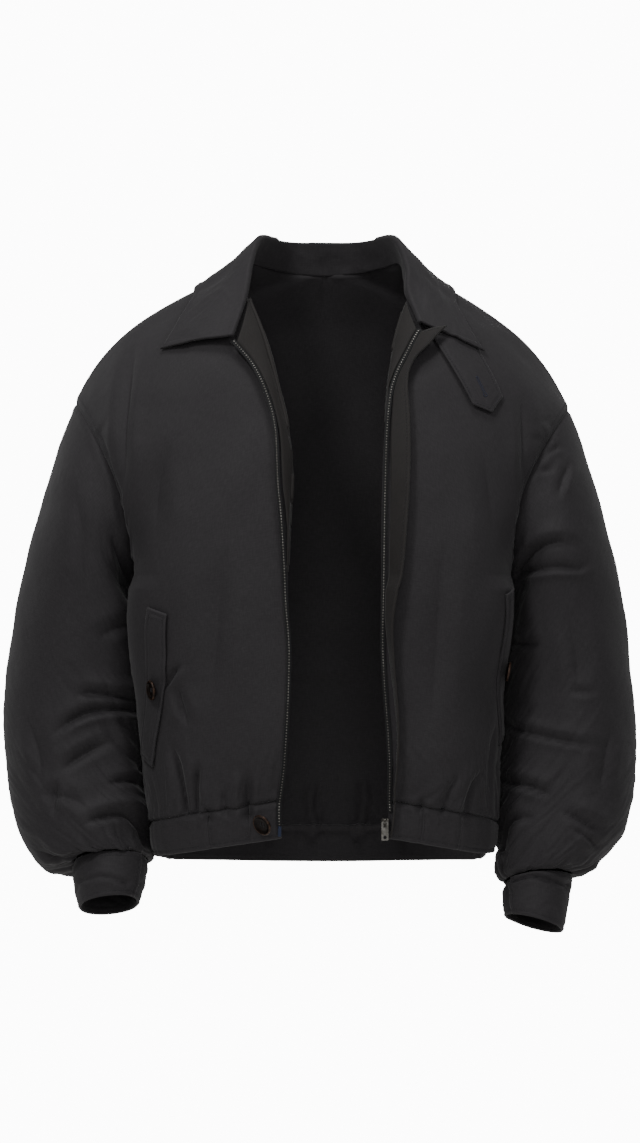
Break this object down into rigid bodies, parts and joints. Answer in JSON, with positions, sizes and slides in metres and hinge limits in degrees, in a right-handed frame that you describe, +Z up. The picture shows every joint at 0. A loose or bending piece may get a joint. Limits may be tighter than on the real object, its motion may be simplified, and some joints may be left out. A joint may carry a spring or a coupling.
{
  "type": "blouson jacket",
  "caption": "Worn loose harrington-type blouson, unzipped: shirt collar with throat tab, dropped shoulders, full sleeves, slant pockets, hem band and cuffs.",
  "frame": {"origin": "between the shoulders that carry it, level with the side of the neck, on the centre line", "axes": "+X towards the wearer's left, -Y to the front, +Z up"},
  "size_m": [0.672, 0.3112, 0.7376],
  "materials": {
    "back": "black tight plain weave, matt with a faint sheen",
    "band_back": "black tight plain weave, doubled",
    "front_right": "black tight plain weave, matt with a faint sheen",
    "band_tab_right": "black tight plain weave, doubled",
    "band_front_right": "black tight plain weave, doubled",
    "sleeve_right": "black tight plain weave, matt with a faint sheen",
    "front_left": "black tight plain weave, matt with a faint sheen",
    "band_tab_left": "black tight plain weave, doubled",
    "band_front_left": "black tight plain weave, doubled",
    "sleeve_left": "black tight plain weave, matt with a faint sheen",
    "collar": "black tight plain weave, doubled and topstitched",
    "cuff_right": "black tight plain weave, doubled and topstitched",
    "cuff_left": "black tight plain weave, doubled and topstitched",
    "zip_tape_right": "blue-black woven tape with a pale metal chain",
    "zip_tape_left": "blue-black woven tape with a pale metal chain",
    "pocket_flap_right": "black tight plain weave, doubled and topstitched",
    "pocket_flap_left": "black tight plain weave, doubled and topstitched",
    "facing_right": "warm black plain weave, matt",
    "facing_left": "warm black plain weave, matt",
    "placket": "warm black plain weave, matt",
    "throat_tab": "black tight plain weave, doubled and topstitched",
    "waist_button": "dark horn, satin, dished",
    "pocket_button_right": "dark horn, satin, dished",
    "pocket_button_left": "dark horn, satin, dished",
    "zip_slider": "nickel, worn bright",
    "zip_box": "nickel, worn bright",
    "zip_pull_tab": "nickel, worn bright",
    "zip_pin": "blue-grey moulded plastic"
  },
  "bodies": {
    "jacket": {"back": "back", "band_back": "band_back", "front_right": "front_right", "band_tab_right": "band_tab_right", "band_front_right": "band_front_right", "sleeve_right": "sleeve_right", "front_left": "front_left", "band_tab_left": "band_tab_left", "band_front_left": "band_front_left", "sleeve_left": "sleeve_left", "collar": "collar", "cuff_right": "cuff_right", "cuff_left": "cuff_left", "zip_tape_right": "zip_tape_right", "zip_tape_left": "zip_tape_left", "pocket_flap_right": "pocket_flap_right", "pocket_flap_left": "pocket_flap_left", "facing_right": "facing_right", "facing_left": "facing_left", "placket": "placket", "throat_tab": "throat_tab", "waist_button": "waist_button", "pocket_button_right": "pocket_button_right", "pocket_button_left": "pocket_button_left", "zip_slider": "zip_slider", "zip_box": "zip_box", "zip_pin": "zip_pin"},
    "pull_tab": {"zip_pull_tab": "zip_pull_tab"}
  },
  "joints": [
    {"name": "pull_tab_hinge", "type": "hinge", "parent": "jacket", "child": "pull_tab", "pos_m": [0.06122, -0.14701, -0.5844], "axis": [-0.9945, 0.1049, 0], "range_deg": [0, 150]}
  ]
}
